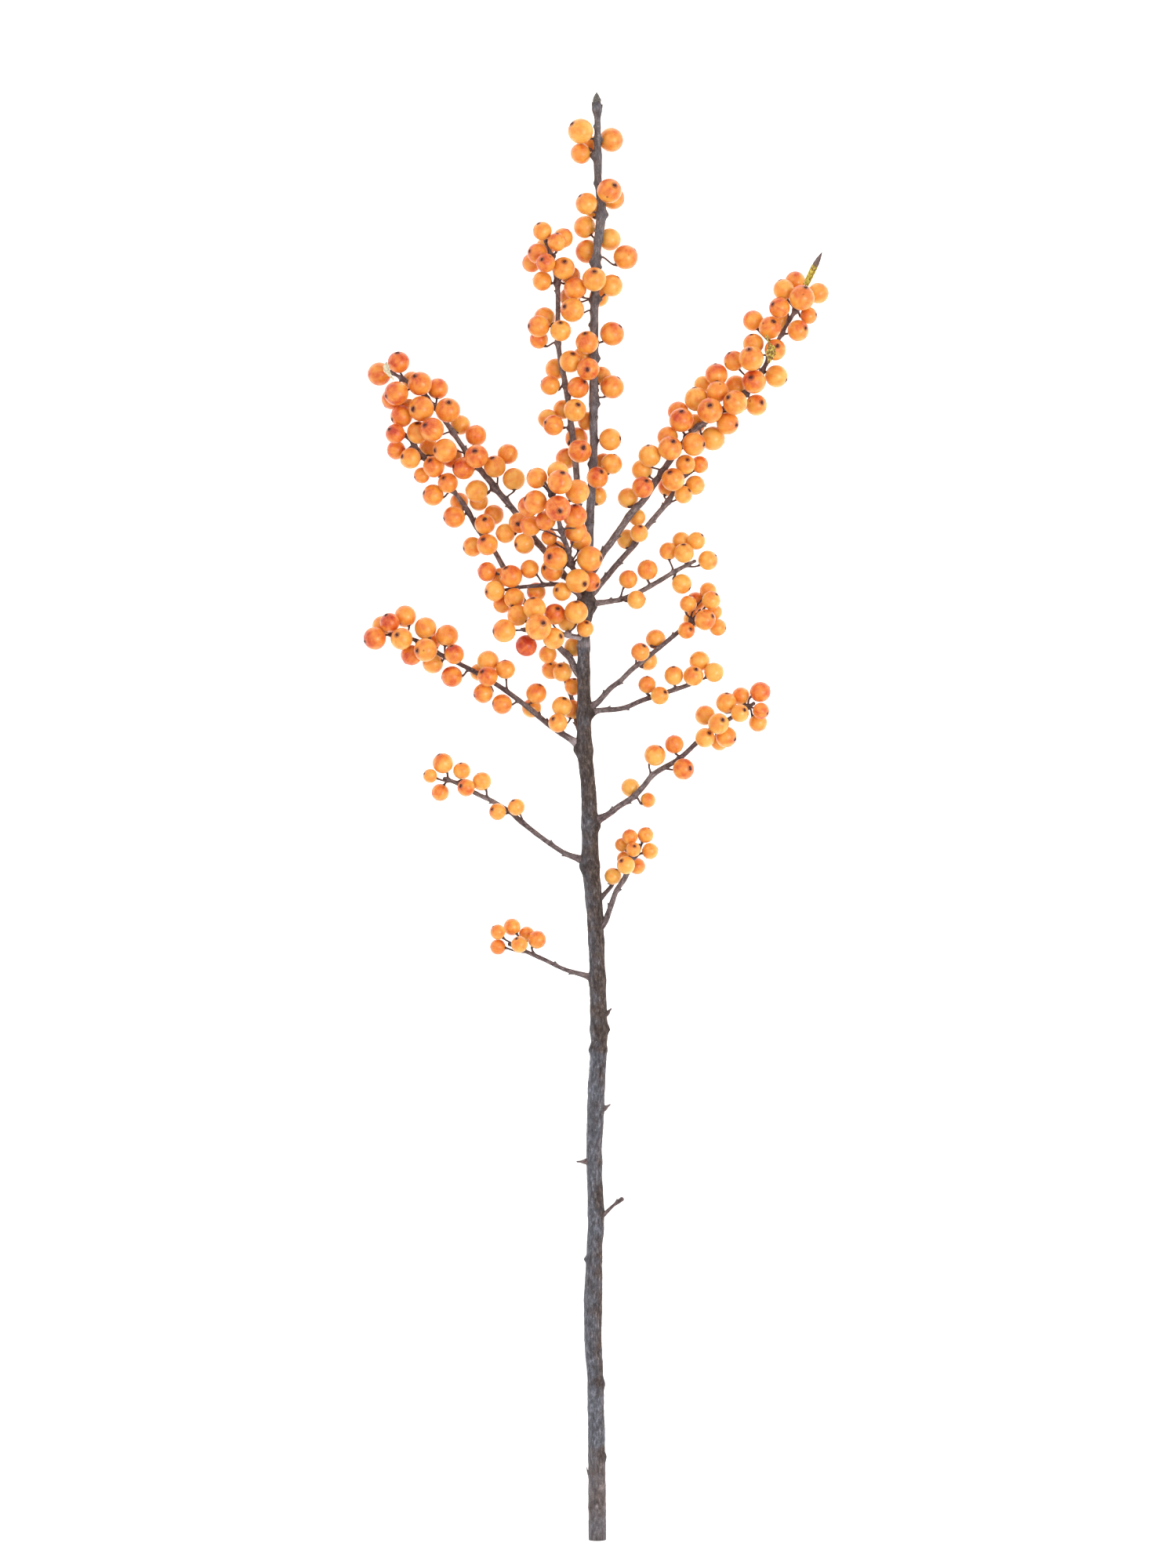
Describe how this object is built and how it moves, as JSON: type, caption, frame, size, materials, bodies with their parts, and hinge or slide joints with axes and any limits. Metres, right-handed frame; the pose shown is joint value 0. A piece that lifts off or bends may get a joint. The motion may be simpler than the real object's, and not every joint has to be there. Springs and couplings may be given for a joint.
{
  "type": "holly berry sprig",
  "caption": "Cut winterberry holly sprig lying flat: tapered woody stem, side twigs crowded with round orange berries on thin stalks, and scraps of dry leaf.",
  "frame": {"origin": "under the middle of the sprig's overall box, on the surface that it lies on", "axes": "+Y runs up the sprig from its cut end to its tip, +X is to its right seen from above, +Z points away from the surface it lies on"},
  "size_m": [0.1934, 0.6, 0.0644],
  "materials": {
    "stem_bark": "rough dark grey-brown bark with pale pores",
    "twig_bark": "matt grey-brown twig bark",
    "berry": "smooth satin orange berry skin with a waxy bloom",
    "dry_leaf": "dry olive-yellow leaf with brown spots"
  },
  "bodies": {
    "root": {"main_stem": "stem_bark", "twig_low_left": "twig_bark", "twig_low_right": "twig_bark", "twig_low_back": "twig_bark", "twig_mid_left": "twig_bark", "twig_mid_right": "twig_bark", "twig_left_arm": "twig_bark", "twig_right_third": "twig_bark", "twig_right_second": "twig_bark", "twig_right_first": "twig_bark", "twig_back": "twig_bark", "front_spray_low": "twig_bark", "twig_left_thin": "twig_bark", "branch_left_upper": "twig_bark", "branch_left_lower": "twig_bark", "branch_right_lower": "twig_bark", "branch_right_upper": "twig_bark", "branch_beside_leader": "twig_bark", "front_spray_high": "twig_bark", "dead_twig": "twig_bark", "spur_upper_right": "twig_bark", "spur_lower_right": "twig_bark", "spur_left": "twig_bark", "berries_main_stem_1": "berry", "berries_main_stem_2": "berry", "berries_main_stem_3": "berry", "berries_twig_low_left_1": "berry", "berries_twig_low_right_1": "berry", "berries_twig_low_back_1": "berry", "berries_twig_mid_left_1": "berry", "berries_twig_mid_right_1": "berry", "berries_twig_mid_right_2": "berry", "berries_twig_left_arm_1": "berry", "berries_twig_left_arm_2": "berry", "berries_twig_right_third_1": "berry", "berries_twig_right_second_1": "berry", "berries_twig_right_first_1": "berry", "berries_twig_back_1": "berry", "berries_front_spray_low_1": "berry", "berries_twig_left_thin_1": "berry", "berries_branch_left_upper_1": "berry", "berries_branch_left_upper_2": "berry", "berries_branch_left_lower_1": "berry", "berries_branch_left_lower_2": "berry", "berries_branch_left_lower_3": "berry", "berries_branch_right_lower_1": "berry", "berries_branch_right_lower_2": "berry", "berries_branch_right_upper_1": "berry", "berries_branch_right_upper_2": "berry", "berries_branch_right_upper_3": "berry", "berries_branch_beside_leader_1": "berry", "berries_branch_beside_leader_2": "berry", "berries_front_spray_high_1": "berry", "berries_front_spray_high_2": "berry", "dry_leaf_tip": "dry_leaf", "dry_leaf_right": "dry_leaf", "dry_leaf_left": "dry_leaf"}
  },
  "joints": []
}
